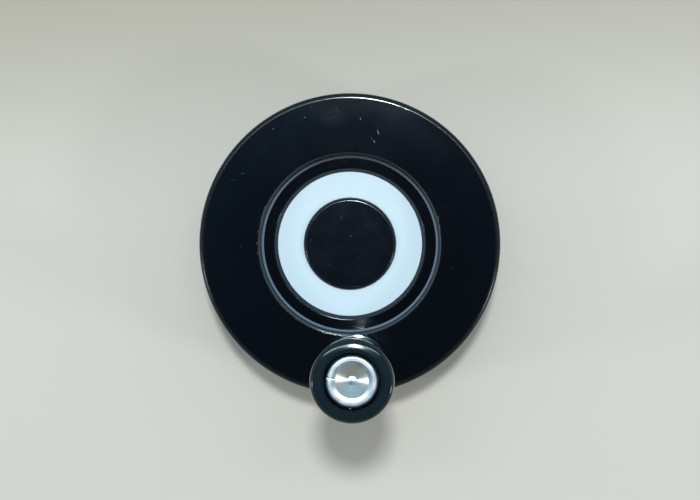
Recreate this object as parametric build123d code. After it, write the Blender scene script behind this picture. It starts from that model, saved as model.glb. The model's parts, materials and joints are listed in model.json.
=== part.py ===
"""A solid disc handwheel, 100 mm across, with a revolving handle near its rim.

A black moulded disc carries a steel hub bush on the shaft, and a pale trim ring and a black hub cap in a
stepped recess. A turned spindle stands near the rim, and the grip turns on it on two bushes.

Frame: origin on the wheel's axis at the hub's back face, +Z out of the front, the handle towards -Y.
All sizes are in millimetres.
"""
from build123d import *
import os

# Wheel
WHEEL_R = 50.0
FACE_Z = 30.0             # the flat front face of the rim
RIM_ROUND_R = 1.65        # rounding between the face and the rim
RIM_BACK_Z = 12.0
RIM_INNER_R = 42.0        # inside wall of the hollow back
ROOF_Z = 24.2             # underside of the disc below the flat face
ROOF_OUTER_R = 36.5
ROOF_INNER_R = 31.0
DEEP_ROOF_Z = 16.8        # underside of the disc below the recess
BOSS_R = 17.0             # moulded boss round the hub bush
RIB_COUNT = 6
RIB_T = 3.0
RIB_BACK_Z = 14.8
GRIP_NOTCH_COUNT = 24     # finger waves round the back of the rim
GRIP_NOTCH_R = 4.6
GRIP_NOTCH_DEPTH = 1.5

# Stepped recess in the face
RECESS_R = 30.3           # where the flat face ends
LAND_Z = 24.0
LAND_OUTER_R = 29.8       # foot of the recess's steep wall
WELL_R = 24.35            # the well that holds the trim ring and the cap
WELL_BEVEL_W = 1.3        # the bevel round the well's mouth, across and down
WELL_BEVEL_H = 2.0
SEAT_Z = 21.3
OPENING_R = 12.0          # hole for the cap's spigot, down to the hub bush

# Trim ring and cap
ADHESIVE_T = 0.2
RING_T = 1.0
RING_OUTER_R = 24.25
RING_INNER_R = 15.5
CAP_R = 15.4
CAP_TOP_Z = 23.8
CAP_WALL = 1.8
SPIGOT_R = 11.85
SPIGOT_WALL = 1.6
SPIGOT_TIP_Z = 18.6
SPIGOT_SLOTS = 4
BEAD_R = 12.25            # the snap bead's crest
BEAD_Z = 19.2

# Hub bush and its set screws
BUSH_R = 13.0
BUSH_FRONT_Z = 18.4
BORE_R = 6.0
BORE_CHAMFER = 0.5
KEYWAY_W = 4.0
KEYWAY_DEPTH = 1.8
BUSH_GROOVES_Z = (10.0, 14.0)
BUSH_FLUTES = 12
SET_SCREW_Z = 6.0
SET_SCREW_HOLE_R = 2.0
SET_SCREW_R = 1.96
SET_SCREW_SPAN = (7.9, 15.9)
SET_SCREW_SOCKET = 2.0    # across flats
SET_SCREW_ANGLES = (0.0, 90.0)

# Handle: the spindle and what it is screwed into
HANDLE_R = 39.8           # spindle's distance from the wheel's axis
INSERT_R = 6.0
INSERT_BACK_Z = 15.0
HANDLE_BOSS_R = 8.5
HANDLE_BOSS_BACK_Z = 14.0
THREAD_R = 3.96
TAPPED_R = 4.0
THREAD_TIP_Z = 16.5
LOCK_WASHER_T = 0.5
BASE_WASHER_T = 1.0
BASE_WASHER_R = 8.0
SHANK_R = 5.0
HEAD_R = 7.75
HEAD_BACK_Z = 86.2
HEAD_RIM_Z = 91.0
RIDGE_R = 6.0             # where the head's flat rim ends and its dish begins
DISH_R = 4.9
DISH_STEP = 0.25          # fall from the rim to the dish's cone
DISH_DEPTH = 2.27
CENTRE_MARK_R = 1.4
CENTRE_MARK_DEPTH = 3.9
THRUST_WASHER_T = 0.5
HEAD_WASHER_T = 0.5
END_PLAY = 0.05           # left between the grip and the washer under the head

# Grip and its bushes
GRIP_FOOT_Z = 32.1
GRIP_R = 12.35            # at the top of its long taper
GRIP_LIP_R = 8.45         # where the rounded end stands highest
COLLAR_R = 10.1           # the collar at the grip's foot
FOOT_R = 8.6
GRIP_TOP_Z = 91.7
GRIP_BORE_R = 5.7
GRIP_BUSH_R = 7.0
RUNNING_GAP = 0.05        # radial clearance of the bushes on the shank
LOWER_BUSH_L = 14.0
UPPER_BUSH_L = 12.0
END_RECESS_R = 8.35
END_RECESS_Z = 84.9

HANDLE = Pos(0, -HANDLE_R, 0)


def turned(corners, radii=0.0):
    """A solid of revolution about Z from its section's (radius, height) corners, each with its own fillet."""
    if isinstance(radii, (int, float)):
        radii = [radii] * len(corners)
    section = Plane.XZ * make_face(FilletPolyline(*corners, radius=radii, close=True).edges())
    return revolve(section, Axis.Z)


def ring(inner, outer, low, high):
    """A plain flat ring about Z."""
    return turned([(inner, low), (outer, low), (outer, high), (inner, high)])


def rod(radius, low, high):
    """A plain round bar about Z."""
    return Pos(0, 0, (low + high) / 2) * Cylinder(radius, high - low)


def around(shape, count, start=0.0):
    """Copies of a shape spaced evenly about Z."""
    return [Rot(0, 0, start + 360.0 * i / count) * shape for i in range(count)]


def set_screw_places():
    """Frames whose +Z points outwards along each set screw."""
    return [Rot(0, 0, a) * Pos(0, 0, SET_SCREW_Z) * Rot(0, 90, 0) for a in SET_SCREW_ANGLES]


def bush_envelope():
    """The outside of the hub bush: grooves and flutes key it into the moulding."""
    body = turned([(0, 0), (BUSH_R, 0), (BUSH_R, BUSH_FRONT_Z), (0, BUSH_FRONT_Z)])
    for z in BUSH_GROOVES_Z:
        body -= ring(BUSH_R - 1.2, BUSH_R + 1, z - 1, z + 1)
    flute_span = (BUSH_GROOVES_Z[0] - 2, BUSH_FRONT_Z + 1)
    flute = Pos(BUSH_R + 0.6, 0, 0) * rod(1.2, *flute_span)
    return body - around(flute, BUSH_FLUTES, 15.0)


def insert_envelope():
    """The outside of the tapped insert in the handle boss, with one holding groove and a knurl of flats."""
    body = HANDLE * turned([(0, INSERT_BACK_Z), (INSERT_R, INSERT_BACK_Z), (INSERT_R, FACE_Z), (0, FACE_Z)])
    return body - HANDLE * ring(INSERT_R - 0.8, INSERT_R + 1, 20.5, 23.0)


def disc_blank():
    """The turned shape of the moulding: recess and face in front, hollow behind, boss in the middle."""
    corners = [
        (OPENING_R, 0), (BOSS_R - 0.6, 0), (BOSS_R, DEEP_ROOF_Z), (ROOF_INNER_R, DEEP_ROOF_Z),
        (ROOF_OUTER_R, ROOF_Z), (RIM_INNER_R - 0.8, ROOF_Z), (RIM_INNER_R + 0.8, RIM_BACK_Z),
        (WHEEL_R, RIM_BACK_Z), (WHEEL_R, FACE_Z), (RECESS_R, FACE_Z), (LAND_OUTER_R, LAND_Z),
        (WELL_R + WELL_BEVEL_W, LAND_Z), (WELL_R, LAND_Z - WELL_BEVEL_H), (WELL_R, SEAT_Z),
        (OPENING_R, SEAT_Z),
    ]
    radii = [0, 1.2, 2.2, 3.0, 3.0, 2.0, 1.5, 2.5, RIM_ROUND_R, 0.2, 0.9, 0.4, 0.2, 0, 0.4]
    return turned(corners, radii)


def rib():
    """One rib of the hollow back, along +X. Its ends and its top run a little way into the disc."""
    low_r, high_r = BOSS_R - 1, RIM_INNER_R + 1.5
    side = make_face(Polyline(
        (low_r, RIB_BACK_Z), (high_r, RIB_BACK_Z), (high_r, ROOF_Z + 0.5), (ROOF_OUTER_R, ROOF_Z + 0.5),
        (ROOF_INNER_R, DEEP_ROOF_Z + 0.5), (low_r, DEEP_ROOF_Z + 0.5), close=True,
    ).edges())
    return extrude(Plane.XZ * side, RIB_T / 2, both=True)


def wheel_disc():
    boss = HANDLE * turned(
        [(0, HANDLE_BOSS_BACK_Z), (HANDLE_BOSS_R, HANDLE_BOSS_BACK_Z), (HANDLE_BOSS_R, ROOF_Z + 1),
         (0, ROOF_Z + 1)],
        [0, 1.0, 0, 0],
    )
    body = disc_blank() + around(rib(), RIB_COUNT, -90.0) + boss
    body -= bush_envelope()
    body -= insert_envelope()
    body -= ring(OPENING_R - 1, BEAD_R + 0.15, BEAD_Z - 0.5, BEAD_Z + 0.5)
    for place in set_screw_places():
        body -= place * rod(SET_SCREW_HOLE_R, BORE_R, BOSS_R + 3)
    notch_z = RIM_BACK_Z - GRIP_NOTCH_R + GRIP_NOTCH_DEPTH
    notch = Pos(WHEEL_R - 4, 0, notch_z) * Rot(0, 90, 0) * Cylinder(GRIP_NOTCH_R, 14)
    return body - around(notch, GRIP_NOTCH_COUNT, 180.0 / GRIP_NOTCH_COUNT)


def hub_bush():
    body = bush_envelope()
    bore = turned([
        (0, 0), (BORE_R + BORE_CHAMFER, 0), (BORE_R, BORE_CHAMFER), (BORE_R, BUSH_FRONT_Z - BORE_CHAMFER),
        (BORE_R + BORE_CHAMFER, BUSH_FRONT_Z), (0, BUSH_FRONT_Z),
    ])
    body -= bore
    depth = BORE_R + KEYWAY_DEPTH
    body -= Pos(0, depth / 2, BUSH_FRONT_Z / 2) * Box(KEYWAY_W, depth, BUSH_FRONT_Z)
    for place in set_screw_places():
        body -= place * rod(SET_SCREW_HOLE_R, 0, BOSS_R)
    return body


def hub_set_screws():
    """Two cup-point set screws, one over the key and one square to it."""
    low, high = SET_SCREW_SPAN
    body = turned([
        (0, low + 0.7), (0.8, low), (1.2, low), (SET_SCREW_R, low + 0.8), (SET_SCREW_R, high - 0.3),
        (SET_SCREW_R - 0.3, high), (0, high),
    ])
    socket = extrude(RegularPolygon(SET_SCREW_SOCKET / 2, 6, major_radius=False), 2.5)
    screw = body - Pos(0, 0, high - 2.5) * socket
    return Compound(children=[place * screw for place in set_screw_places()])


def accent_ring_adhesive():
    return ring(RING_INNER_R + 0.3, RING_OUTER_R - 0.3, SEAT_Z, SEAT_Z + ADHESIVE_T)


def accent_ring():
    low = SEAT_Z + ADHESIVE_T
    high = low + RING_T
    return turned(
        [(RING_INNER_R, low), (RING_OUTER_R, low), (RING_OUTER_R, high), (RING_INNER_R, high)],
        [0, 0, 0.15, 0.15],
    )


def hub_cap():
    """A shallow cap: a shell with a slotted spigot whose bead snaps into the groove of the opening."""
    spigot_inner = SPIGOT_R - SPIGOT_WALL
    under_z = CAP_TOP_Z - CAP_WALL
    body = turned(
        [
            (0, under_z), (spigot_inner, under_z), (spigot_inner, SPIGOT_TIP_Z),
            (SPIGOT_R - 0.3, SPIGOT_TIP_Z), (BEAD_R, BEAD_Z), (SPIGOT_R, BEAD_Z + 0.4), (SPIGOT_R, SEAT_Z),
            (CAP_R, SEAT_Z), (CAP_R, CAP_TOP_Z), (0, CAP_TOP_Z),
        ],
        [0, 0.8, 0, 0, 0.1, 0, 0, 0, 1.0, 0],
    )
    slot = Pos(SPIGOT_R - 1, 0, (SPIGOT_TIP_Z + SEAT_Z) / 2 - 0.5) * Box(4, 2.4, SEAT_Z - SPIGOT_TIP_Z + 1)
    return body - around(slot, SPIGOT_SLOTS, 45.0)


def spindle_insert():
    return insert_envelope() - HANDLE * rod(TAPPED_R, INSERT_BACK_Z - 1, FACE_Z + 1)


def spindle_lock_washer():
    """A lock washer with its teeth on the inside."""
    low = FACE_Z
    body = ring(THREAD_R + 0.2, BASE_WASHER_R - 0.4, low, low + LOCK_WASHER_T)
    gap = Pos(THREAD_R + 0.4, 0, low + LOCK_WASHER_T / 2) * Box(1.8, 0.9, 1)
    return HANDLE * (body - around(gap, 9))


def spindle_base_washer():
    low = FACE_Z + LOCK_WASHER_T
    return HANDLE * turned(
        [(THREAD_R + 0.1, low), (BASE_WASHER_R, low), (BASE_WASHER_R, low + BASE_WASHER_T),
         (THREAD_R + 0.1, low + BASE_WASHER_T)],
        [0, 0.2, 0.2, 0],
    )


def thrust_washer():
    low = FACE_Z + LOCK_WASHER_T + BASE_WASHER_T
    return HANDLE * ring(SHANK_R + 0.1, BASE_WASHER_R - 0.3, low, low + THRUST_WASHER_T)


def handle_spindle():
    """A turned spindle: screwed end, shank, and a dished head with a centre mark and one setting mark."""
    shoulder_z = FACE_Z + LOCK_WASHER_T + BASE_WASHER_T
    corners = [
        (0, THREAD_TIP_Z), (THREAD_R - 0.8, THREAD_TIP_Z), (THREAD_R, THREAD_TIP_Z + 0.8),
        (THREAD_R, shoulder_z), (SHANK_R, shoulder_z), (SHANK_R, HEAD_BACK_Z), (HEAD_R, HEAD_BACK_Z),
        (HEAD_R, HEAD_RIM_Z), (RIDGE_R, HEAD_RIM_Z), (DISH_R, HEAD_RIM_Z - DISH_STEP),
        (CENTRE_MARK_R, HEAD_RIM_Z - DISH_DEPTH), (0, HEAD_RIM_Z - CENTRE_MARK_DEPTH),
    ]
    radii = [0, 0, 0, 0, 0.2, 0, 0.4, 1.0, 0.3, 0, 0, 0]
    setting_mark = Pos(-(RIDGE_R + 0.4), 0, HEAD_RIM_Z) * Box(3.0, 0.8, 0.7)
    return HANDLE * (turned(corners, radii) - setting_mark)


def head_washer():
    low = END_RECESS_Z + END_PLAY
    return HANDLE * ring(SHANK_R + 0.1, END_RECESS_R - 0.6, low, low + HEAD_WASHER_T)


def disc_spring():
    """A thin conical spring washer that takes up the grip's end play under the head."""
    low, high, thickness = END_RECESS_Z + END_PLAY + HEAD_WASHER_T, HEAD_BACK_Z, 0.35
    return HANDLE * turned([
        (SHANK_R + 0.15, high - thickness), (END_RECESS_R - 0.7, low),
        (END_RECESS_R - 0.7, low + thickness), (SHANK_R + 0.15, high),
    ])


def grip_outline():
    """The grip's outside from foot to lip: a collar, a neck, a long straight taper and a round end."""
    collar_z = GRIP_FOOT_Z + 2.5
    neck_root = (8.2, collar_z + 0.35)
    neck = (8.1, GRIP_FOOT_Z + 7.4)
    taper_low = (10.2, GRIP_FOOT_Z + 15.9)
    taper_top = (GRIP_R, GRIP_TOP_Z - 4.4)
    taper = (taper_top[0] - taper_low[0], taper_top[1] - taper_low[1])
    brow = (GRIP_R - 1.25, GRIP_TOP_Z - 0.34)
    lip = (GRIP_LIP_R, GRIP_TOP_Z)
    foot = FilletPolyline(
        (FOOT_R, GRIP_FOOT_Z), (COLLAR_R, GRIP_FOOT_Z + 0.8), (COLLAR_R, collar_z), neck_root, neck,
        radius=[0.6, 0.3, 0.5],
    )
    neck_lean = (neck[0] - neck_root[0], neck[1] - neck_root[1])
    return [
        *foot.edges(),
        Spline(neck, taper_low, tangents=[neck_lean, taper]),
        Line(taper_low, taper_top),
        Spline(taper_top, brow, tangents=[taper, (-1, 0.245)]),
        Spline(brow, lip, tangents=[(-1, 0.245), (-1, 0.02)]),
    ]


def grip():
    """The revolving grip, with a recess in its end for the spindle's head."""
    outline = grip_outline()
    lip, foot = outline[-1] @ 1, (FOOT_R, GRIP_FOOT_Z)
    recess_mouth = (END_RECESS_R, GRIP_TOP_Z - 0.1)
    bush_top = GRIP_FOOT_Z + LOWER_BUSH_L
    bush_low = END_RECESS_Z - UPPER_BUSH_L
    inside = Polyline(
        lip, recess_mouth, (END_RECESS_R, END_RECESS_Z), (GRIP_BUSH_R, END_RECESS_Z),
        (GRIP_BUSH_R, bush_low), (GRIP_BORE_R, bush_low), (GRIP_BORE_R, bush_top),
        (GRIP_BUSH_R, bush_top), (GRIP_BUSH_R, GRIP_FOOT_Z), foot,
    )
    section = make_face([*outline, *inside.edges()])
    return HANDLE * revolve(Plane.XZ * section, Axis.Z)


def grip_bush(low, high):
    inner = SHANK_R + RUNNING_GAP
    return HANDLE * turned([
        (inner + 0.3, low), (GRIP_BUSH_R, low), (GRIP_BUSH_R, high), (inner + 0.3, high),
        (inner, high - 0.3), (inner, low + 0.3),
    ])


def main():
    parts = {
        "wheel_disc": wheel_disc(),
        "hub_bush": hub_bush(),
        "hub_set_screws": hub_set_screws(),
        "accent_ring_adhesive": accent_ring_adhesive(),
        "accent_ring": accent_ring(),
        "hub_cap": hub_cap(),
        "spindle_insert": spindle_insert(),
        "spindle_lock_washer": spindle_lock_washer(),
        "spindle_base_washer": spindle_base_washer(),
        "thrust_washer": thrust_washer(),
        "handle_spindle": handle_spindle(),
        "head_washer": head_washer(),
        "disc_spring": disc_spring(),
        "grip": grip(),
        "grip_bush_lower": grip_bush(GRIP_FOOT_Z, GRIP_FOOT_Z + LOWER_BUSH_L),
        "grip_bush_upper": grip_bush(END_RECESS_Z - UPPER_BUSH_L, END_RECESS_Z),
    }
    os.makedirs("parts", exist_ok=True)
    for name, shape in parts.items():
        export_step(shape, f"parts/{name}.step")


main()
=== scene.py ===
"""Looks of the disc handwheel with a revolving handle.

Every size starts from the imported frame. Working sizes are in millimetres in the row frame, and become metres
when a mesh is made.
"""
import bpy
import bmesh
import json
from math import atan2, ceil, cos, degrees, exp, hypot, pi, radians, sin, tan
from mathutils import Matrix, Vector


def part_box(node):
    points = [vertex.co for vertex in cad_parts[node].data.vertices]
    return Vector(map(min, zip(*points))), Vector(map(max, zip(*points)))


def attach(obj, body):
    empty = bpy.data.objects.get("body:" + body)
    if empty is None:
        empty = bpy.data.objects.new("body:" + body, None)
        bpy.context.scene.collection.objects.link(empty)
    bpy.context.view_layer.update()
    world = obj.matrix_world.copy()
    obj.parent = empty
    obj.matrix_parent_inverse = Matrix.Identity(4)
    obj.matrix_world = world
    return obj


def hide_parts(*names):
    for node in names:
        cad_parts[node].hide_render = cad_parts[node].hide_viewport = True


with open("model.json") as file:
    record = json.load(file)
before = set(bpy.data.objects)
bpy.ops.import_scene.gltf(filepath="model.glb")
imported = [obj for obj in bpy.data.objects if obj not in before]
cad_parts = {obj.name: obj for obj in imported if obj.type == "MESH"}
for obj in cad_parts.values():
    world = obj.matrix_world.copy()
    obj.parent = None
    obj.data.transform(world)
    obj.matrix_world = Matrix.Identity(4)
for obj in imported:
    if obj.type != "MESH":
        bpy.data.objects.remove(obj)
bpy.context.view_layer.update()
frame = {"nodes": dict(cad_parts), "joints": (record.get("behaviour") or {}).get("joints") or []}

MM = 0.001
SEGMENTS = 432            # round the wheel: eighteen for each finger wave
SMALL_SEGMENTS = 192      # round the handle's pieces
ARC_STEP = radians(7.5)   # along a rounded corner


def box_mm(node):
    """A CAD node's lowest and highest corners, in millimetres."""
    low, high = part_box(node)
    return low / MM, high / MM


# Sizes read from the frame
DISC_LOW, DISC_HIGH = box_mm("wheel_disc")
RING_LOW, RING_HIGH = box_mm("accent_ring")
CAP_LOW, CAP_HIGH = box_mm("hub_cap")
BUSH_HIGH = box_mm("hub_bush")[1]
FILM_LOW = box_mm("accent_ring_adhesive")[0]
HEAD_LOW, HEAD_HIGH = box_mm("handle_spindle")
GRIP_LOW, GRIP_HIGH = box_mm("grip")
INSERT_LOW, INSERT_HIGH = box_mm("spindle_insert")
WASHER_HIGH = box_mm("spindle_base_washer")[1]
SCREW_LOW, SCREW_HIGH = box_mm("hub_set_screws")
GRIP_AXIS = Vector(frame["joints"][0]["pos_m"][:2]) / MM

WHEEL_R = DISC_HIGH.x
FACE_Z = DISC_HIGH.z
SEAT_Z = FILM_LOW.z
BUSH_R = BUSH_HIGH.x
BUSH_TOP_Z = BUSH_HIGH.z
RING_OUTER_R = RING_HIGH.x
CAP_R = CAP_HIGH.x
HEAD_R = (HEAD_HIGH.x - HEAD_LOW.x) / 2
HEAD_TOP_Z = HEAD_HIGH.z
GRIP_R = (GRIP_HIGH.x - GRIP_LOW.x) / 2

# Sizes of the moulding that no box gives
RIM_BACK_Z = 12.0
RIM_INNER_R = 42.0
RIM_ROUND_R = 1.65
ROOF_Z = 24.2
ROOF_OUTER_R = 36.5
ROOF_INNER_R = 31.0
DEEP_ROOF_Z = 16.8
BOSS_R = 17.0
RECESS_R = 30.3
LAND_Z = 24.0
LAND_OUTER_R = 29.8
WELL_R = RING_OUTER_R + 0.1
WELL_BEVEL_W = 1.0
WELL_BEVEL_H = LAND_Z - RING_HIGH.z
OPENING_R = 12.0
RIB_COUNT = 6
RIB_HALF_T = 1.5
RIB_BACK_Z = 14.8
WAVE_COUNT = 24
WAVE_DEPTH = 1.5
WAVE_FADE_Z = 17.0
HANDLE_BOSS_R = 8.5
HANDLE_BOSS_BACK_Z = 14.0

# Sizes of the spindle's head that no box gives
RIDGE_R = 6.0
DISH_R = 4.9
DISH_STEP = 0.25
DISH_DEPTH = 2.27
CENTRE_MARK_R = 1.4
CENTRE_MARK_DEPTH = 3.9
SETTING_MARK_ANGLE = radians(169)
SETTING_MARK_HALF_W = 0.42
SETTING_MARK_DEPTH = 0.35


# ---------------------------------------------------------------- outlines and meshes

def rounded(corners, radii):
    """A closed (radius, height) outline with each corner rounded to its own radius."""
    points = []
    for i, corner in enumerate(corners):
        here = Vector(corner)
        if radii[i] == 0:
            points.append(here)
            continue
        u = (Vector(corners[i - 1]) - here).normalized()
        v = (Vector(corners[(i + 1) % len(corners)]) - here).normalized()
        half = u.angle(v) / 2
        centre = here + (u + v).normalized() * radii[i] / sin(half)
        spoke = here + u * radii[i] / tan(half) - centre
        end = here + v * radii[i] / tan(half) - centre
        sweep = atan2(spoke.cross(end), spoke.dot(end))
        steps = max(2, ceil(abs(sweep) / ARC_STEP))
        points += [centre + Matrix.Rotation(sweep * k / steps, 2) @ spoke for k in range(steps + 1)]
    return points


def bezier(p0, p1, p2, p3, steps=24):
    """Points along one cubic Bezier curve, without its last."""
    p0, p1, p2, p3 = (Vector(p) for p in (p0, p1, p2, p3))
    points = []
    for k in range(steps):
        t = k / steps
        points.append((1 - t) ** 3 * p0 + 3 * t * (1 - t) ** 2 * p1 + 3 * t * t * (1 - t) * p2 + t ** 3 * p3)
    return points


def held(points, near=(0.12, 0.4, 1.0), longest=2.5):
    """The outline with points that crowd towards each straight's ends, to keep smooth shading off it."""
    result = []
    for i, a in enumerate(points):
        b = points[(i + 1) % len(points)]
        length = (b - a).length
        result.append(a)
        low = [step for step in near if step < length / 3]
        if not low:
            continue
        middle = length - 2 * low[-1]
        count = ceil(middle / longest)
        steps = low[:-1] + [low[-1] + middle * k / count for k in range(count + 1)]
        steps += [length - step for step in reversed(low[:-1])]
        result += [a + (b - a) * (step / length) for step in steps]
    return result


def mesh_object(name, verts, faces, sharp=35.0):
    """A mesh object in metres from points in millimetres, smooth except over edges sharper than sharp."""
    mesh = bpy.data.meshes.new(name)
    mesh.from_pydata([Vector(v) * MM for v in verts], [], faces)
    piece = bpy.data.objects.new(name, mesh)
    bpy.context.scene.collection.objects.link(piece)
    tidy_mesh(mesh, sharp)
    return piece


def tidy_mesh(mesh, sharp):
    bm = bmesh.new()
    bm.from_mesh(mesh)
    bmesh.ops.remove_doubles(bm, verts=bm.verts, dist=1e-7)
    bmesh.ops.recalc_face_normals(bm, faces=bm.faces)
    for face in bm.faces:
        face.smooth = True
    for edge in bm.edges:
        edge.smooth = not (len(edge.link_faces) == 2 and degrees(edge.calc_face_angle(0.0)) > sharp)
    bm.to_mesh(mesh)
    bm.free()


def lathe(name, outline, centre=(0.0, 0.0), segments=SMALL_SEGMENTS, move=None, sharp=35.0):
    """A closed outline turned about a vertical axis. move(radius, angle, height) may shift a point."""
    verts, rings = [], []
    for r, z in outline:
        if r < 1e-6:
            rings.append([len(verts)] * segments)
            verts.append((centre[0], centre[1], z))
            continue
        start = len(verts)
        rings.append(list(range(start, start + segments)))
        for k in range(segments):
            angle = 2 * pi * k / segments
            radius, height = (r, z) if move is None else move(r, angle, z)
            verts.append((centre[0] + radius * cos(angle), centre[1] + radius * sin(angle), height))
    faces = []
    for i, ring in enumerate(rings):
        after = rings[(i + 1) % len(rings)]
        for k in range(segments):
            n = (k + 1) % segments
            corners = list(dict.fromkeys((ring[k], ring[n], after[n], after[k])))
            if len(corners) > 2:
                faces.append(corners)
    return mesh_object(name, verts, faces, sharp)


def loft(name, sections, sharp=35.0):
    """A closed solid through sections with the same number of points, flat at both ends."""
    size = len(sections[0])
    verts = [p for section in sections for p in section]
    faces = [tuple(range(size)), tuple((len(sections) - 1) * size + k for k in range(size))]
    for i in range(len(sections) - 1):
        for k in range(size):
            n = (k + 1) % size
            faces.append((i * size + k, i * size + n, (i + 1) * size + n, (i + 1) * size + k))
    return mesh_object(name, verts, faces, sharp)


def combine(target, tool, operation):
    """Joins the tool to the target, or cuts it away, and drops the tool."""
    modifier = target.modifiers.new(operation, "BOOLEAN")
    modifier.operation = operation
    modifier.solver = "EXACT"
    modifier.object = tool
    depsgraph = bpy.context.evaluated_depsgraph_get()
    result = bpy.data.meshes.new_from_object(target.evaluated_get(depsgraph))
    target.modifiers.clear()
    target.data = result
    bpy.data.objects.remove(tool)


# ---------------------------------------------------------------- the moulding

# Knocks on the moulding's edges: angle in degrees, radius, half width along the edge, depth
EDGE_NICKS = (
    (64.3, 49.0, 0.7, 0.04), (196.5, 49.4, 0.8, 0.06), (34.6, 49.4, 0.7, 0.05), (151.0, 49.4, 0.7, 0.05),
    (182.3, 30.2, 0.7, 0.06), (176.5, 30.2, 0.6, 0.03), (169.0, 30.2, 0.6, 0.03), (12.0, 30.2, 0.6, 0.03),
)
NICK_HALF_REACH = 0.45    # across the edge


def wave_lift(angle):
    """How far the back of the rim is lifted there by its finger waves."""
    pitch = 2 * pi / WAVE_COUNT
    phase = (angle % pitch) / pitch
    return WAVE_DEPTH * (0.5 - 0.5 * cos(2 * pi * phase)) ** 1.5


def moulding_move(r, angle, z):
    """Finger waves under the rim, and small knocks along the face's two edges."""
    if r > RIM_INNER_R - 1.5 and z < WAVE_FADE_Z:
        z += wave_lift(angle) * (WAVE_FADE_Z - z) / (WAVE_FADE_Z - RIM_BACK_Z)
    if z > FACE_Z - 2.5:
        for at, radius, half_width, depth in EDGE_NICKS:
            turn = (angle - radians(at) + pi) % (2 * pi) - pi
            away = hypot(turn * radius / half_width, (r - radius) / NICK_HALF_REACH)
            if away < 2.5:
                z -= depth * exp(-away * away)
    return r, z


def moulding_outline():
    corners = [
        (OPENING_R, SEAT_Z), (OPENING_R, BUSH_TOP_Z), (BUSH_R, BUSH_TOP_Z), (BUSH_R, DISC_LOW.z),
        (BOSS_R - 0.6, DISC_LOW.z), (BOSS_R, DEEP_ROOF_Z), (ROOF_INNER_R, DEEP_ROOF_Z),
        (ROOF_OUTER_R, ROOF_Z), (RIM_INNER_R - 0.8, ROOF_Z), (RIM_INNER_R + 0.8, RIM_BACK_Z),
        (WHEEL_R, RIM_BACK_Z), (WHEEL_R, FACE_Z),
        (RECESS_R, FACE_Z), (LAND_OUTER_R, LAND_Z), (WELL_R + WELL_BEVEL_W, LAND_Z),
        (WELL_R, LAND_Z - WELL_BEVEL_H), (WELL_R, SEAT_Z),
    ]
    radii = [0.4, 0, 0, 0, 1.2, 2.2, 3.0, 3.0, 2.0, 1.5, 2.5, RIM_ROUND_R, 0.3, 0.9, 0.4, 0.2, 0]
    return held(rounded(corners, radii), near=(0.15, 0.6), longest=6.0)


def rib(angle):
    """One rib of the hollow back, with a rounded free edge."""
    inner = (BOSS_R - 0.8, BOSS_R + 3, ROOF_INNER_R - 1.0)
    outer = (ROOF_OUTER_R, RIM_INNER_R - 3, RIM_INNER_R + 1.2)
    stations = [(x, DEEP_ROOF_Z + 0.5) for x in inner] + [(x, ROOF_Z + 0.5) for x in outer]
    edge_r = 0.7
    arc = [(RIB_HALF_T - edge_r + edge_r * cos(a), RIB_BACK_Z + edge_r - edge_r * sin(a))
           for a in (radians(15 * k) for k in range(7))]
    low = arc + [(-y, z) for y, z in reversed(arc)]
    sections = []
    for x, top in stations:
        outline = [(RIB_HALF_T, top)] + low + [(-RIB_HALF_T, top)]
        sections.append([(x * cos(angle) - y * sin(angle), x * sin(angle) + y * cos(angle), z)
                         for y, z in outline])
    return loft("rib", sections)


def handle_boss():
    top = ROOF_Z + 1.2
    corners = [(0, HANDLE_BOSS_BACK_Z), (HANDLE_BOSS_R, HANDLE_BOSS_BACK_Z), (HANDLE_BOSS_R, top), (0, top)]
    return lathe("boss", held(rounded(corners, [0, 1.0, 0, 0])), GRIP_AXIS, 96)


def insert_cutter():
    """The space in the boss that the brass insert fills."""
    radius = (INSERT_HIGH.x - INSERT_LOW.x) / 2
    corners = [(0, INSERT_LOW.z), (radius, INSERT_LOW.z), (radius, FACE_Z + 2), (0, FACE_Z + 2)]
    return lathe("cutter", [Vector(c) for c in corners], GRIP_AXIS, 96)


def screw_hole_cutters():
    """A round hole through the hub's boss over each set screw."""
    z = (SCREW_LOW.z + SCREW_HIGH.z) / 2
    radius = (SCREW_HIGH.z - SCREW_LOW.z) / 2 + 0.04
    cutters = []
    start, end = BUSH_R - 1, BOSS_R + 3
    for angle in (0.0, pi / 2):
        corners = [(0, start), (radius, start), (radius, end), (0, end)]
        cutter = lathe("cutter", [Vector(c) for c in corners], segments=48)
        turn = Matrix.Rotation(angle, 4, "Z") @ Matrix.Rotation(pi / 2, 4, "Y")
        cutter.data.transform(Matrix.Translation((0, 0, z * MM)) @ turn)
        cutters.append(cutter)
    return cutters


def wheel_moulding():
    moulding = lathe("disc_moulding", moulding_outline(), segments=SEGMENTS, move=moulding_move)
    combine(moulding, handle_boss(), "UNION")
    for k in range(RIB_COUNT):
        combine(moulding, rib(2 * pi * k / RIB_COUNT - pi / 2), "UNION")
    combine(moulding, insert_cutter(), "DIFFERENCE")
    for cutter in screw_hole_cutters():
        combine(moulding, cutter, "DIFFERENCE")
    tidy_mesh(moulding.data, 30.0)
    return moulding


# ---------------------------------------------------------------- ring and cap

def trim_ring():
    inner = CAP_R + 0.1
    low, high = RING_LOW.z, RING_HIGH.z
    corners = [(inner, low), (RING_OUTER_R, low), (RING_OUTER_R, high), (inner, high)]
    return lathe("trim_ring", held(rounded(corners, [0, 0, 0.15, 0.15])), segments=SEGMENTS)


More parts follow.
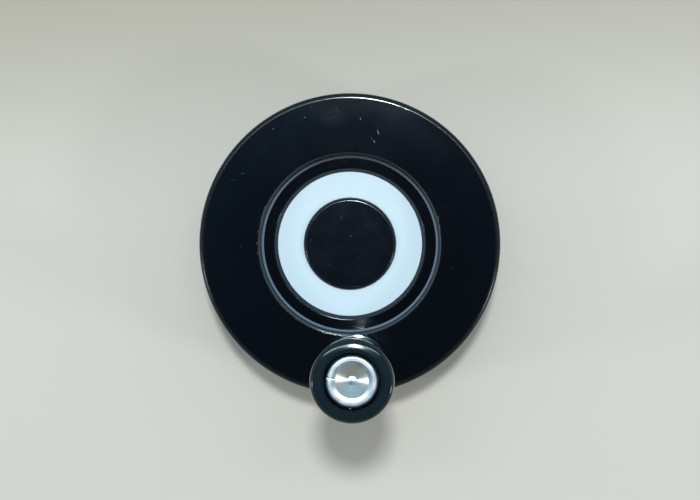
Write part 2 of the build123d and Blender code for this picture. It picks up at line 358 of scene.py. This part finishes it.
def cap():
    """The cap's shell with its spigot, as it would come off the wheel."""
    spigot_r, wall, tip = 11.85, 1.6, CAP_LOW.z
    under = CAP_HIGH.z - 1.8
    bead = tip + 0.6
    corners = [
        (0, under), (spigot_r - wall, under), (spigot_r - wall, tip), (spigot_r - 0.3, tip),
        (spigot_r + 0.4, bead), (spigot_r, bead + 0.4), (spigot_r, SEAT_Z), (CAP_R, SEAT_Z),
        (CAP_R, CAP_HIGH.z), (0, CAP_HIGH.z),
    ]
    outline = held(rounded(corners, [0, 0.8, 0, 0, 0.1, 0, 0, 0, 1.0, 0]))
    return lathe("hub_cap_shell", outline, segments=SEGMENTS)


# ---------------------------------------------------------------- handle

def spindle():
    """The turned spindle with its dished head, centre mark and setting mark, and rolled thread below."""
    thread_tip, shoulder = HEAD_LOW.z, WASHER_HIGH.z
    thread_r, shank_r = 3.96, 5.0
    head_back = HEAD_TOP_Z - 4.8
    corners = [
        (0, thread_tip), (thread_r - 0.8, thread_tip), (thread_r, thread_tip + 0.8), (thread_r, shoulder),
        (shank_r, shoulder), (shank_r, head_back), (HEAD_R, head_back), (HEAD_R, HEAD_TOP_Z),
        (RIDGE_R, HEAD_TOP_Z), (DISH_R, HEAD_TOP_Z - DISH_STEP), (CENTRE_MARK_R, HEAD_TOP_Z - DISH_DEPTH),
        (0, HEAD_TOP_Z - CENTRE_MARK_DEPTH),
    ]
    outline = held(rounded(corners, [0, 0, 0, 0, 0.2, 0, 0.4, 1.0, 0.5, 0.4, 0.15, 0]), near=(0.08, 0.3))

    def setting_mark(r, angle, z):
        """A narrow groove across the head's rim, on its left."""
        turn = angle - SETTING_MARK_ANGLE
        across = abs(r * sin(turn)) / SETTING_MARK_HALF_W
        on_rim = cos(turn) > 0 and DISH_R + 0.05 < r < HEAD_R and z > HEAD_TOP_Z - 1.1
        if on_rim and across < 1:
            z = min(z, HEAD_TOP_Z - SETTING_MARK_DEPTH * (1 - across ** 2))
        return r, z

    return lathe("spindle", outline, GRIP_AXIS, 384, setting_mark, sharp=28.0)


def grip_outline():
    """Collar, neck, long straight taper and rounded end outside; head recess and bush seats inside."""
    foot_z, top_z = GRIP_LOW.z, GRIP_HIGH.z
    collar_r, collar_z = 10.1, foot_z + 2.5
    neck_root, neck = (8.2, collar_z + 0.35), (8.1, foot_z + 7.4)
    taper_low = Vector((10.2, foot_z + 15.9))
    taper_top = Vector((GRIP_R - 0.045, top_z - 4.4))
    lean = (taper_top - taper_low).normalized() * 3.0
    brow = Vector((GRIP_R - 1.29, top_z - 0.34))
    lip = (8.45, top_z)
    recess_r, recess_z = 8.35, top_z - 6.8
    bush_r = 7.0
    collar = [(8.6, foot_z), (collar_r, foot_z + 0.8), (collar_r, collar_z), neck_root, neck]
    outside = (
        rounded(collar, [0, 0.6, 0.3, 0.5, 0])[:-1]
        + bezier(neck, (8.04, foot_z + 10.4), taper_low - lean, taper_low)
        + [taper_low]
        + bezier(taper_top, taper_top + lean, brow + Vector((0.9, -0.22)), brow)
        + bezier(brow, brow + Vector((-0.9, 0.22)), (9.35, top_z - 0.018), lip, 16)
    )
    inside = [lip, (recess_r, top_z - 0.1), (recess_r, recess_z), (bush_r, recess_z), (bush_r, foot_z)]
    return held(outside + [Vector(p) for p in inside])


def grip_body():
    return lathe("grip_body", grip_outline(), GRIP_AXIS, 256, sharp=40.0)


# ---------------------------------------------------------------- materials

class Surface:
    """One material, and short ways to add nodes to it. Its patterns are in millimetres, in the row frame."""

    def __init__(self, name, metallic=0.0, ior=1.5, tint=(1.0, 1.0, 1.0, 1.0)):
        self.material = bpy.data.materials.new(name)
        self.material.use_nodes = True
        self.tree = self.material.node_tree
        self.shader = self.tree.nodes["Principled BSDF"]
        self.shader.inputs["Metallic"].default_value = metallic
        self.shader.inputs["IOR"].default_value = ior
        self.shader.inputs["Specular Tint"].default_value = tint
        place = self.add("ShaderNodeTexCoord").outputs["Object"]
        self.place = self.add("ShaderNodeVectorMath", {0: place, 3: 1 / MM}, operation="SCALE").outputs[0]

    def add(self, kind, inputs=None, **settings):
        node = self.tree.nodes.new(kind)
        for key, value in settings.items():
            setattr(node, key, value)
        for key, value in (inputs or {}).items():
            self.put(node.inputs[key], value)
        return node

    def put(self, socket, value):
        if isinstance(value, bpy.types.NodeSocket):
            self.tree.links.new(value, socket)
        else:
            socket.default_value = value

    def math(self, operation, a, b=0.0, clamp=False):
        return self.add("ShaderNodeMath", {0: a, 1: b}, operation=operation, use_clamp=clamp).outputs[0]

    def spread(self, value, low, high, out_low=0.0, out_high=1.0):
        """The value's stretch from low to high, moved to run from out_low to out_high."""
        inputs = {"Value": value, "From Min": low, "From Max": high, "To Min": out_low, "To Max": out_high}
        return self.add("ShaderNodeMapRange", inputs, interpolation_type="SMOOTHSTEP").outputs[0]

    def blend(self, share, a, b):
        """Colour a, or b where share is 1."""
        node = self.add("ShaderNodeMix", {0: share, 6: a, 7: b}, data_type="RGBA")
        return node.outputs[2]

    def apart(self, place=None, centre=(0, 0)):
        """The place's x, y and z, and its distance from a vertical line."""
        moved = self.add("ShaderNodeVectorMath", {0: place or self.place, 1: (centre[0], centre[1], 0)},
                         operation="SUBTRACT").outputs[0]
        x, y, z = self.add("ShaderNodeSeparateXYZ", {0: moved}).outputs
        radius = self.math("SQRT", self.math("ADD", self.math("MULTIPLY", x, x), self.math("MULTIPLY", y, y)))
        return x, y, z, radius

    def noise(self, size, detail=3.0, place=None, rough=0.55):
        """Noise from 0 to 1 with lumps of about that size."""
        inputs = {"Vector": place or self.place, "Scale": 1 / size, "Detail": detail, "Roughness": rough}
        return self.add("ShaderNodeTexNoise", inputs).outputs[0]

    def grain(self, length, width, angle, place=None):
        """Noise drawn out along one direction of the face."""
        turned = self.add("ShaderNodeMapping", {0: place or self.place, 2: (0, 0, -angle)}).outputs[0]
        inputs = {0: turned, 3: (1 / length, 1 / width, 1 / length)}
        stretched = self.add("ShaderNodeMapping", inputs).outputs[0]
        return self.add("ShaderNodeTexNoise", {"Vector": stretched, "Scale": 1.0, "Detail": 2.0}).outputs[0]

    def hairlines(self, threshold=0.72):
        """Fine scratches that run several ways, from 0 to 1."""
        total = None
        for length, width, angle in ((10, 0.10, 1.75), (7, 0.08, 2.0), (14, 0.12, 0.25), (6, 0.07, 1.1)):
            line = self.spread(self.grain(length, width, angle), threshold, threshold + 0.06)
            total = line if total is None else self.math("MAXIMUM", total, line)
        return total

    def turning(self, size, centre=(0, 0), flat=True):
        """The fine rings that a lathe tool leaves, on a flat face or along a barrel."""
        z, radius = self.apart(centre=centre)[2:]
        across = radius if flat else z
        line = self.add("ShaderNodeCombineXYZ", {0: self.math("DIVIDE", across, size)}).outputs[0]
        return self.add("ShaderNodeTexNoise", {"Vector": line, "Scale": 1.0, "Detail": 3.0}).outputs[0]

    def bump(self, height, depth, under=None):
        """Raises the surface by up to depth millimetres."""
        inputs = {"Height": height, "Distance": depth * MM, "Strength": 1.0}
        if under is not None:
            inputs["Normal"] = under
        return self.add("ShaderNodeBump", inputs).outputs[0]

    def finish(self, colour=None, roughness=None, normal=None):
        if colour is not None:
            self.put(self.shader.inputs["Base Color"], colour)
        if roughness is not None:
            self.put(self.shader.inputs["Roughness"], roughness)
        if normal is not None:
            self.put(self.shader.inputs["Normal"], normal)
        return self.material


def rgb(red, green, blue):
    return (red, green, blue, 1.0)


COOL = rgb(0.78, 0.92, 1.0)          # tint of the black plastics' shine

# Marks on the disc's face: x, y, half length, half width, angle in degrees, strength
FACE_MARKS = (
    (-2.8, 42.0, 6.0, 4.0, 10, 0.03), (11.6, 36.3, 1.2, 0.15, -76, 0.8), (10.1, 33.4, 0.8, 0.15, -76, 0.9),
    (9.3, 34.5, 0.5, 0.12, -78, 0.5), (6.0, 41.1, 0.5, 0.14, -80, 0.8), (-23.1, 39.4, 0.25, 0.18, 0, 0.9),
    (-12.3, 42.7, 0.2, 0.16, 0, 0.9), (-36.0, 1.3, 0.2, 0.2, 0, 0.6), (33.2, -9.9, 0.22, 0.16, 0, 0.6),
    (-34.0, 25.2, 1.0, 0.2, 4, 0.3), (-37.5, 23.4, 0.8, 0.14, -6, 0.25), (-30.4, -1.1, 0.55, 0.16, 60, 1.0),
    (-30.6, 1.9, 0.5, 0.14, 80, 0.7), (-30.0, 5.8, 0.6, 0.14, 75, 0.6), (-27.3, 13.8, 0.4, 0.14, 60, 0.6),
    (29.9, 7.0, 0.9, 0.14, 104, 0.6), (-47.3, -14.0, 0.5, 0.14, 105, 0.7), (-48.0, -10.5, 0.7, 0.1, 102, 0.5),
)
CAP_MARKS = (
    (-2.3, 9.0, 0.9, 0.12, 115, 0.45), (5.5, 11.0, 0.5, 0.1, -30, 0.4), (-13.0, 2.0, 0.25, 0.2, 0, 0.6),
    (0.6, 2.5, 0.3, 0.2, 0, 0.5), (2.6, -5.0, 0.6, 0.1, 60, 0.3), (-7.0, -6.5, 0.9, 0.08, 15, 0.25),
)


def marks(surface, listed):
    """The listed scratches and specks as one value from 0 to 1."""
    total = None
    for x, y, half_length, half_width, angle, strength in listed:
        size = (half_length, half_width, 1000)
        inputs = {0: surface.place, 1: (x, y, 0), 2: (0, 0, radians(angle)), 3: size}
        inside = surface.add("ShaderNodeMapping", inputs, vector_type="TEXTURE").outputs[0]
        flat = surface.add("ShaderNodeVectorMath", {0: inside, 1: (1, 1, 0)}, operation="MULTIPLY").outputs[0]
        spot = surface.add("ShaderNodeTexGradient", {0: flat}, gradient_type="SPHERICAL").outputs[1]
        spot = surface.math("MULTIPLY", surface.spread(spot, 0.0, 0.6), strength)
        total = spot if total is None else surface.math("MAXIMUM", total, spot)
    return total


def moulding_material():
    """Polished black phenolic: worn edges, fine scratches, a few marks, and a painted reflection of the trim
    ring: a rough blue-grey band round the recess's lower corner.
    """
    s = Surface("polished_moulding", ior=1.5, tint=COOL)
    z, radius = s.apart()[2:]
    cloud = s.noise(14.0, 4.0)
    lines = s.hairlines()
    face = s.spread(z, FACE_Z - 0.3, FACE_Z - 0.1)
    marked = s.math("MULTIPLY", marks(s, FACE_MARKS), face)
    edge = s.math("MULTIPLY", s.spread(z, FACE_Z - 1.4, FACE_Z - 0.9), s.spread(z, FACE_Z, FACE_Z - 0.012))
    worn = s.math("MULTIPLY", edge, s.spread(s.noise(1.6, 4.0), 0.25, 0.6, 0.55, 1.0))
    worn = s.math("MULTIPLY", worn, s.spread(radius, RECESS_R + 2.0, RECESS_R + 4.0, 0.3, 1.0))
    # Painted reflection: a blue-grey band round the land's outer corner stands in for the trim ring's
    # reflection there, and is made rougher too.
    outside = s.spread(radius, LAND_OUTER_R - 1.0, LAND_OUTER_R - 0.85)
    corner = s.math("MULTIPLY", outside, s.spread(radius, LAND_OUTER_R - 0.05, LAND_OUTER_R - 0.25))
    corner = s.math("MULTIPLY", corner, s.spread(z, LAND_Z - 0.6, LAND_Z - 0.3))
    corner = s.math("MULTIPLY", corner, s.spread(z, LAND_Z + 2.0, LAND_Z + 1.0))
    hidden = s.spread(z, FACE_Z - 12.0, FACE_Z - 14.0)
    colour = s.blend(cloud, rgb(0.0016, 0.0025, 0.0042), rgb(0.0024, 0.0035, 0.0056))
    colour = s.blend(s.math("MULTIPLY", lines, 0.012), colour, rgb(0.35, 0.42, 0.5))
    colour = s.blend(s.math("MULTIPLY", marked, 0.2), colour, rgb(0.36, 0.42, 0.48))
    painted_ring_reflection = s.blend(s.noise(3.0, 4.0), rgb(0.082, 0.118, 0.165), rgb(0.112, 0.155, 0.213))
    colour = s.blend(corner, colour, painted_ring_reflection)
    colour = s.blend(s.math("MULTIPLY", hidden, 0.6), colour, rgb(0.012, 0.012, 0.012))
    rough = s.spread(cloud, 0.3, 0.7, 0.062, 0.078)
    rough = s.math("ADD", rough, s.math("MULTIPLY", worn, 0.15))
    rough = s.math("ADD", rough, s.math("MULTIPLY", lines, 0.06))
    rough = s.math("ADD", rough, s.math("MULTIPLY", marked, 0.22))
    rough = s.math("ADD", rough, s.math("MULTIPLY", corner, 0.45))
    rough = s.math("ADD", rough, s.math("MULTIPLY", hidden, 0.22), clamp=True)
    normal = s.bump(lines, 0.001, s.bump(s.noise(9.0, 2.0), 0.006))
    normal = s.bump(s.math("SUBTRACT", 1.0, marked), 0.002, normal)
    return s.finish(colour, rough, normal)


def cap_material():
    s = Surface("polished_cap", ior=1.5, tint=COOL)
    z = s.apart()[2]
    cloud = s.noise(8.0, 4.0)
    lines = s.hairlines()
    marked = marks(s, CAP_MARKS)
    edge = s.spread(z, CAP_HIGH.z, CAP_HIGH.z - 0.012)
    colour = s.blend(cloud, rgb(0.0026, 0.0040, 0.0070), rgb(0.0038, 0.0056, 0.0092))
    colour = s.blend(s.math("MULTIPLY", lines, 0.015), colour, rgb(0.35, 0.42, 0.5))
    colour = s.blend(s.math("MULTIPLY", marked, 0.25), colour, rgb(0.36, 0.42, 0.48))
    rough = s.spread(cloud, 0.3, 0.7, 0.09, 0.12)
    rough = s.math("ADD", rough, s.math("MULTIPLY", edge, 0.1))
    rough = s.math("ADD", rough, s.math("MULTIPLY", lines, 0.06))
    rough = s.math("ADD", rough, s.math("MULTIPLY", marked, 0.22))
    normal = s.bump(lines, 0.001, s.bump(s.noise(6.0, 2.0), 0.004))
    return s.finish(colour, rough, normal)


def grip_material():
    """Glossy black, a little duller where the palm runs over it and round its crown."""
    s = Surface("handled_grip", ior=1.5, tint=COOL)
    z, radius = s.apart(centre=GRIP_AXIS)[2:]
    cloud = s.noise(7.0, 4.0)
    lines = s.hairlines()
    rings = s.turning(0.25, flat=False)
    palm = s.math("MULTIPLY", s.spread(z, 44.0, 62.0), s.spread(z, GRIP_HIGH.z - 2.0, GRIP_HIGH.z - 8.0))
    crown = s.math("MULTIPLY", s.spread(radius, 9.3, 9.9), s.spread(radius, 11.3, 10.7))
    crown = s.math("MULTIPLY", crown, s.spread(z, GRIP_HIGH.z - 1.6, GRIP_HIGH.z - 1.0))
    colour = s.blend(cloud, rgb(0.0036, 0.0100, 0.0145), rgb(0.0050, 0.0125, 0.0175))
    colour = s.blend(s.math("MULTIPLY", lines, 0.015), colour, rgb(0.35, 0.42, 0.5))
    rough = s.spread(cloud, 0.3, 0.7, 0.07, 0.09)
    rough = s.math("ADD", rough, s.math("MULTIPLY", palm, 0.02))
    rough = s.math("ADD", rough, s.math("MULTIPLY", crown, 0.04))
    rough = s.math("ADD", rough, s.math("MULTIPLY", lines, 0.08))
    normal = s.bump(rings, 0.0008, s.bump(s.noise(6.0, 2.0), 0.005))
    return s.finish(colour, rough, normal)


def trim_material():
    """Smooth satin trim in pale ice blue, with a faint grain, and painted shade, broken by noise, against both
    its edges.
    """
    s = Surface("satin_trim", ior=1.45)
    radius = s.apart()[3]
    cloud = s.noise(6.0, 4.0)
    grain = s.noise(0.22, 2.0)
    # Painted shade: a noisy darker and rougher band against the inner and outer edges, where the ring meets
    # the cap and the wall.
    inner = s.spread(radius, CAP_R + 0.55, CAP_R + 0.1)
    outer = s.spread(radius, RING_OUTER_R - 0.45, RING_OUTER_R)
    painted_edge_shade = s.math("MULTIPLY", s.math("ADD", inner, outer), s.spread(s.noise(1.3, 4.0), 0.4, 0.7))
    colour = s.blend(cloud, rgb(0.57, 0.735, 0.845), rgb(0.60, 0.76, 0.865))
    colour = s.blend(s.math("MULTIPLY", painted_edge_shade, 0.35), colour, rgb(0.30, 0.36, 0.40))
    rough = s.math("ADD", s.spread(cloud, 0.3, 0.7, 0.42, 0.5), s.math("MULTIPLY", painted_edge_shade, 0.2))
    rough = s.math("ADD", rough, s.math("MULTIPLY", s.hairlines(0.68), 0.1))
    return s.finish(colour, rough, s.bump(grain, 0.004))


def turned_metal(name, dark, light, rough, centre, pitch, dull_rim=0.0):
    """Turned metal: fine tool rings, cloudy tarnish, hairline scratches. dull_rim is for outside the dish."""
    s = Surface(name, metallic=1.0)
    rings = s.turning(pitch, centre)
    radius = s.apart(centre=centre)[3]
    cloud = s.noise(2.6, 4.0)
    colour = s.blend(cloud, rgb(*dark), rgb(*light))
    stain = s.spread(s.noise(0.9, 5.0), 0.62, 0.75, 0.0, 0.2)
    colour = s.blend(stain, colour, rgb(*[c * 0.55 for c in dark]))
    value = s.math("ADD", s.spread(cloud, 0.3, 0.7, rough * 0.85, rough * 1.2),
                   s.spread(rings, 0.3, 0.7, -0.04, 0.06))
    value = s.math("ADD", value, s.math("MULTIPLY", s.hairlines(0.64), 0.06))
    value = s.math("ADD", value, s.spread(radius, DISH_R - 0.1, DISH_R + 0.2, 0.0, dull_rim))
    normal = s.bump(rings, 0.004, s.bump(s.noise(1.5, 3.0), 0.002))
    return s.finish(colour, value, normal)


def acetal_material():
    s = Surface("natural_acetal", ior=1.48)
    cloud = s.noise(3.0, 4.0)
    colour = s.blend(cloud, rgb(0.72, 0.71, 0.65), rgb(0.80, 0.79, 0.74))
    colour = s.blend(s.spread(s.noise(1.2, 4.0), 0.6, 0.8, 0.0, 0.3), colour, rgb(0.32, 0.31, 0.28))
    rough = s.spread(cloud, 0.3, 0.7, 0.38, 0.5)
    return s.finish(colour, rough, s.bump(s.turning(0.2, GRIP_AXIS), 0.003))


def adhesive_material():
    s = Surface("adhesive_film", ior=1.45)
    cloud = s.noise(2.0, 4.0)
    colour = s.blend(cloud, rgb(0.50, 0.48, 0.40), rgb(0.60, 0.58, 0.50))
    rough = s.spread(cloud, 0.3, 0.7, 0.3, 0.45)
    return s.finish(colour, rough, s.bump(s.noise(0.5, 3.0), 0.01))


def floor_material():
    """A plain pale table top, a shade deeper towards the back."""
    s = Surface("pale_floor", ior=1.3)
    y = s.apart()[1]
    deep = s.spread(y, 10.0, 110.0)
    colour = s.blend(deep, rgb(0.655, 0.635, 0.595), rgb(0.43, 0.40, 0.34))
    colour = s.blend(s.math("MULTIPLY", s.noise(90.0, 3.0), 0.12), colour, rgb(0.50, 0.49, 0.46))
    return s.finish(colour, 0.75)


# ---------------------------------------------------------------- putting it together

def dress(piece, body, material):
    piece.data.materials.clear()
    piece.data.materials.append(material)
    if body:
        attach(piece, body)
    return piece


def add_pieces():
    """The Blender pieces that stand for plain CAD nodes."""
    dark, light = (0.42, 0.51, 0.58), (0.54, 0.63, 0.70)
    zinc = turned_metal("turned_zinc_plate", dark, light, 0.26, GRIP_AXIS, 0.22, dull_rim=0.1)
    pieces = (
        (wheel_moulding(), "wheel", "wheel_disc", "black_moulding", moulding_material()),
        (trim_ring(), "wheel", "accent_ring", "pale_trim", trim_material()),
        (cap(), "wheel", "hub_cap", "black_cap", cap_material()),
        (spindle(), "wheel", "handle_spindle", "zinc_plated_steel", zinc),
        (grip_body(), "grip", "grip", "black_grip", grip_material()),
    )
    for piece, body, node, slot, material in pieces:
        dress(piece, body, material)
        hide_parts(node)


def finish_cad_nodes():
    """Materials for the CAD nodes that stay."""
    washer = turned_metal("zinc_washer", (0.55, 0.60, 0.66), (0.70, 0.75, 0.80), 0.27, GRIP_AXIS, 0.3)
    bush = turned_metal("blackened_bush", (0.085, 0.085, 0.09), (0.13, 0.13, 0.135), 0.36, (0, 0), 0.25)
    screw = turned_metal("black_oxide", (0.11, 0.11, 0.115), (0.15, 0.15, 0.155), 0.4, (0, 0), 0.2)
    brass = turned_metal("turned_brass", (0.66, 0.50, 0.22), (0.76, 0.60, 0.30), 0.28, GRIP_AXIS, 0.25)
    acetal = acetal_material()
    finishes = {
        "hub_bush": ("blackened_steel", bush), "hub_set_screws": ("screw_steel", screw),
        "accent_ring_adhesive": ("adhesive_film", adhesive_material()), "spindle_insert": ("brass", brass),
        "spindle_lock_washer": ("screw_steel", screw), "spindle_base_washer": ("zinc_plated_steel", washer),
        "thrust_washer": ("acetal", acetal), "head_washer": ("acetal", acetal),
        "disc_spring": ("screw_steel", screw), "grip_bush_lower": ("acetal", acetal),
        "grip_bush_upper": ("acetal", acetal),
    }
    for node, (slot, material) in finishes.items():
        dress(frame["nodes"][node], None, material)


def add_floor():
    mesh = bpy.data.meshes.new("floor")
    half = 1.5
    corners = [(-half, -half, 0), (half, -half, 0), (half, half, 0), (-half, half, 0)]
    mesh.from_pydata(corners, [], [(0, 1, 2, 3)])
    floor = bpy.data.objects.new("floor", mesh)
    bpy.context.scene.collection.objects.link(floor)
    mesh.materials.append(floor_material())


def area_light(name, place, target, width, height, watts, colour, shape="RECTANGLE"):
    data = bpy.data.lights.new(name, "AREA")
    data.shape = shape
    data.size = width
    data.size_y = height
    data.energy = watts
    data.color = colour
    light = bpy.data.objects.new(name, data)
    bpy.context.scene.collection.objects.link(light)
    light.location = place
    light.rotation_euler = (Vector(target) - Vector(place)).to_track_quat("-Z", "Y").to_euler()
    return light


def toward(distance, from_zenith, azimuth, height=0.03):
    """A place at that distance from the wheel's face, by its angles in degrees."""
    tilt, turn = radians(from_zenith), radians(azimuth)
    away = Vector((sin(tilt) * cos(turn), sin(tilt) * sin(turn), cos(tilt)))
    return away * distance + Vector((0, 0, height))


def add_lights():
    """A small key from above, a dim strip across it, and two low lights at the sides."""
    target = (0, 0, 0.03)
    area_light("key", toward(1.2, 14.5, 83.0), target, 0.12, 0.12, 7.7, (0.97, 0.985, 1.0), "DISK")
    area_light("strip", toward(1.2, 15.5, 90.0), target, 1.0, 0.05, 2.4, (0.82, 0.96, 1.0))
    area_light("right", toward(0.9, 60.0, -24.0), target, 0.13, 0.13, 1.25, (0.97, 0.99, 1.0))
    area_light("left", toward(0.9, 60.0, 189.6), target, 0.11, 0.13, 0.9, (0.97, 0.99, 1.0))


def add_world():
    """A dim studio: dark straight above, a little light round it, pale walls, cooler and lighter behind."""
    world = bpy.data.worlds.new("studio")
    world.use_nodes = True
    bpy.context.scene.world = world
    tree = world.node_tree
    tree.nodes.clear()
    direction = tree.nodes.new("ShaderNodeTexCoord").outputs["Generated"]

    def ramp_along(axis, stops):
        """Colours by the cosine of the angle from that direction."""
        along = tree.nodes.new("ShaderNodeVectorMath")
        along.operation = "DOT_PRODUCT"
        along.inputs[1].default_value = axis
        tree.links.new(direction, along.inputs[0])
        half = tree.nodes.new("ShaderNodeMapRange")
        half.inputs["From Min"].default_value = -1.0
        tree.links.new(along.outputs["Value"], half.inputs["Value"])
        ramp = tree.nodes.new("ShaderNodeValToRGB")
        tree.links.new(half.outputs[0], ramp.inputs[0])
        elements = ramp.color_ramp.elements
        while len(elements) < len(stops):
            elements.new(0.5)
        for element, (away, colour) in zip(elements, sorted(stops, reverse=True)):
            element.position = 0.5 + 0.5 * cos(radians(away))
            element.color = rgb(*colour)
        return ramp.outputs[0]

    overhead = Vector((0, -sin(radians(3.0)), cos(radians(3.0))))
    height = ramp_along(overhead, [
        (0.0, (0.02, 0.03, 0.045)), (7.0, (0.03, 0.05, 0.075)), (11.0, (0.10, 0.22, 0.37)),
        (18.0, (0.15, 0.18, 0.20)), (40.0, (0.16, 0.19, 0.20)), (54.0, (0.64, 0.61, 0.52)),
        (70.0, (0.58, 0.55, 0.46)), (80.0, (0.24, 0.23, 0.20)), (90.0, (0.16, 0.15, 0.13)),
    ])
    side = ramp_along(Vector((0, 1, 0)), [
        (35.0, (0.80, 1.22, 1.45)), (90.0, (1.0, 1.0, 1.0)), (145.0, (0.66, 0.64, 0.58)),
    ])
    both = tree.nodes.new("ShaderNodeVectorMath")
    both.operation = "MULTIPLY"
    tree.links.new(height, both.inputs[0])
    tree.links.new(side, both.inputs[1])
    background = tree.nodes.new("ShaderNodeBackground")
    tree.links.new(both.outputs[0], background.inputs["Color"])
    background.inputs["Strength"].default_value = 1.08
    output = tree.nodes.new("ShaderNodeOutputWorld")
    tree.links.new(background.outputs[0], output.inputs["Surface"])


def add_camera():
    """Looks almost straight down on the wheel from half a metre."""
    data = bpy.data.cameras.new("camera")
    data.sensor_width = 36.0
    data.lens = 73.0
    camera = bpy.data.objects.new("camera", data)
    bpy.context.scene.collection.objects.link(camera)
    camera.location = Vector((11.87, -0.70, 499.6)) * MM
    camera.rotation_euler = (radians(-0.246), radians(1.425), radians(-3.242))
    bpy.context.scene.camera = camera


bpy.context.scene.view_settings.view_transform = "Standard"
add_camera()
add_world()
add_lights()
add_floor()
add_pieces()
finish_cad_nodes()

bpy.context.view_layer.update()
